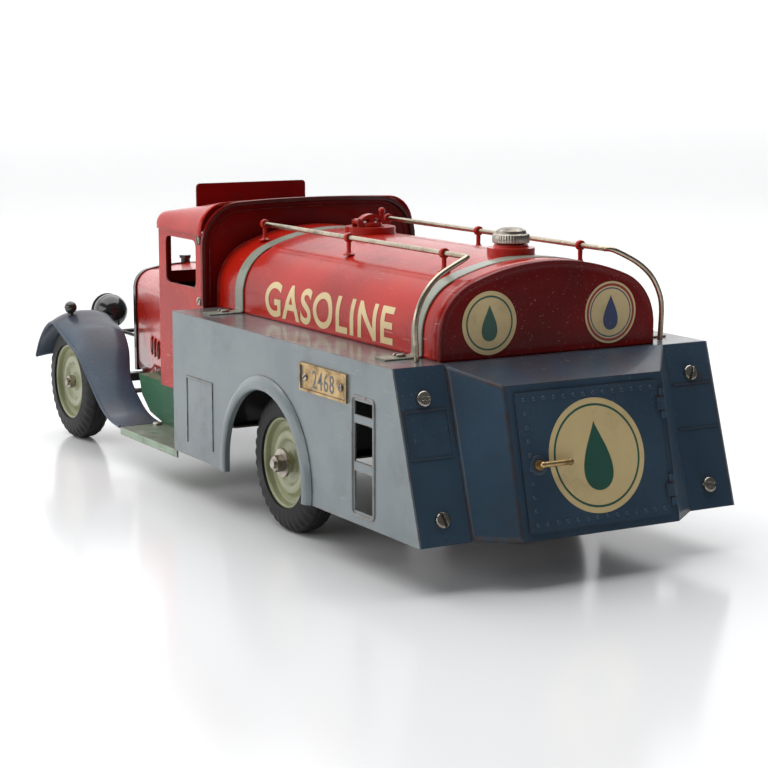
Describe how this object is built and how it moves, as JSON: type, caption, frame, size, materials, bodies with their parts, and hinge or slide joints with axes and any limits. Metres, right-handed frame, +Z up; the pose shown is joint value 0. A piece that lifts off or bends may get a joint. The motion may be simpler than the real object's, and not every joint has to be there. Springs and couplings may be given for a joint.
{
  "type": "tin toy tanker truck",
  "caption": "Pressed-tin toy tanker truck with a round-cornered tank, side skirts, a raked tail cabinet with a hinged door, handrails, an open cab and steering front wheels.",
  "frame": {"origin": "centre of the outer box, on the ground under the truck", "axes": "+Z up, +X to the truck's left side, -Y to the front"},
  "size_m": [0.1606, 0.4339, 0.1429],
  "materials": {
    "chassis_paint": "dull black paint",
    "green_paint": "worn enamel",
    "pale_green_paint": "worn enamel",
    "nickel": "tarnished nickel",
    "wheel_paint": "worn enamel",
    "tyre_rubber": "aged rubber",
    "slate_paint": "worn enamel",
    "blue_grey_paint": "worn enamel",
    "black_paint": "gloss black",
    "red_paint": "worn enamel",
    "dark_red_paint": "worn enamel",
    "bench_paint": "worn enamel",
    "strap_paint": "worn enamel",
    "brass": "aged",
    "cream_paint": "worn enamel",
    "sign_green": "worn enamel",
    "sign_blue": "worn enamel",
    "sign_red": "worn enamel",
    "lamp_glass": "clear"
  },
  "bodies": {
    "chassis": {"girder_left": "chassis_paint", "girder_right": "chassis_paint", "cross_members": "chassis_paint", "frame_pan": "green_paint", "front_axle_beam": "chassis_paint", "running_board_left": "pale_green_paint", "running_board_right": "pale_green_paint", "front_wing_left": "slate_paint", "front_wing_right": "slate_paint", "wing_lamps": "slate_paint", "headlamp_shells": "black_paint", "headlamp_lenses": "nickel", "headlamp_brackets": "chassis_paint", "radiator_shell": "black_paint", "radiator_grille": "black_paint", "hood": "red_paint", "cab_shell": "red_paint", "cab_back": "dark_red_paint", "cab_roof": "red_paint", "roof_sign": "dark_red_paint", "driver_bench": "bench_paint", "skirt_left": "blue_grey_paint", "skirt_right": "blue_grey_paint", "corner_panel_left": "slate_paint", "corner_panel_right": "slate_paint", "tail_cabinet": "slate_paint", "tank_shell": "red_paint", "tank_end_front": "dark_red_paint", "tank_end_rear": "dark_red_paint", "strap_front": "strap_paint", "strap_rear": "strap_paint", "handrail_left": "nickel", "handrail_right": "nickel", "rail_posts": "red_paint", "filler_neck_front": "red_paint", "filler_neck_rear": "red_paint", "side_plate": "brass", "body_screws": "nickel", "cab_bolts": "nickel"},
    "rear_wheels": {"rear_axle": "nickel", "wheel_rear_left": "wheel_paint", "wheel_rear_right": "wheel_paint", "tyre_rear_left": "tyre_rubber", "tyre_rear_right": "tyre_rubber", "rear_hub_nuts": "nickel"},
    "knuckle_left": {"knuckle_left": "nickel"},
    "knuckle_right": {"knuckle_right": "nickel"},
    "tie_rod": {"tie_rod": "nickel"},
    "front_wheel_left": {"wheel_front_left": "wheel_paint", "tyre_front_left": "tyre_rubber"},
    "front_wheel_right": {"wheel_front_right": "wheel_paint", "tyre_front_right": "tyre_rubber"},
    "steering_wheel": {"steering_wheel": "black_paint"},
    "tail_door": {"tail_door": "slate_paint"},
    "door_latch": {"door_latch": "brass"},
    "filler_lid": {"filler_lid": "red_paint"},
    "filler_cap": {"filler_cap": "nickel"}
  },
  "joints": [
    {"name": "rear_axle_spin", "type": "hinge", "parent": "chassis", "child": "rear_wheels", "pos_m": [0, 0.0774, 0.031], "axis": [1, 0, 0], "continuous": true},
    {"name": "steer_left", "type": "hinge", "parent": "chassis", "child": "knuckle_left", "pos_m": [0.0505, -0.1782, 0.031], "axis": [0, 0, 1], "range_deg": [-14, 14]},
    {"name": "steer_right", "type": "hinge", "parent": "chassis", "child": "knuckle_right", "pos_m": [-0.0505, -0.1782, 0.031], "axis": [0, 0, 1], "range_deg": [-14, 14]},
    {"name": "tie_rod_slide", "type": "slide", "parent": "chassis", "child": "tie_rod", "axis": [1, 0, 0], "range_m": [-0.0031, 0.0031]},
    {"name": "steering_wheel_turn", "type": "hinge", "parent": "chassis", "child": "steering_wheel", "pos_m": [0.024, -0.072, 0.084], "axis": [0, 0.7071, 0.7071], "range_deg": [-72, 72]},
    {"name": "wheel_spin_left", "type": "hinge", "parent": "knuckle_left", "child": "front_wheel_left", "pos_m": [0.06, -0.1782, 0.031], "axis": [1, 0, 0], "continuous": true},
    {"name": "wheel_spin_right", "type": "hinge", "parent": "knuckle_right", "child": "front_wheel_right", "pos_m": [-0.06, -0.1782, 0.031], "axis": [1, 0, 0], "continuous": true},
    {"name": "tail_door_hinge", "type": "hinge", "parent": "chassis", "child": "tail_door", "pos_m": [-0.036, 0.21003, 0.04939], "axis": [0, -0.2311, 0.9729], "range_deg": [0, 115]},
    {"name": "latch_turn", "type": "hinge", "parent": "tail_door", "child": "door_latch", "pos_m": [0.0277, 0.20887, 0.04865], "axis": [0, 0.9729, 0.2311], "range_deg": [0, 90]},
    {"name": "filler_lid_hinge", "type": "hinge", "parent": "chassis", "child": "filler_lid", "pos_m": [0.0068, 0.0281, 0.1307], "axis": [0, 1, 0], "range_deg": [0, 100]},
    {"name": "filler_cap_turn", "type": "hinge", "parent": "chassis", "child": "filler_cap", "pos_m": [0, 0.1473, 0.1299], "axis": [0, 0, 1], "continuous": true}
  ],
  "couplings": [
    {"joint": "steer_right", "follows": "steer_left", "ratio": 1},
    {"joint": "tie_rod_slide", "follows": "steer_left", "m_per_rad": -0.012},
    {"joint": "steering_wheel_turn", "follows": "steer_left", "ratio": 5}
  ]
}
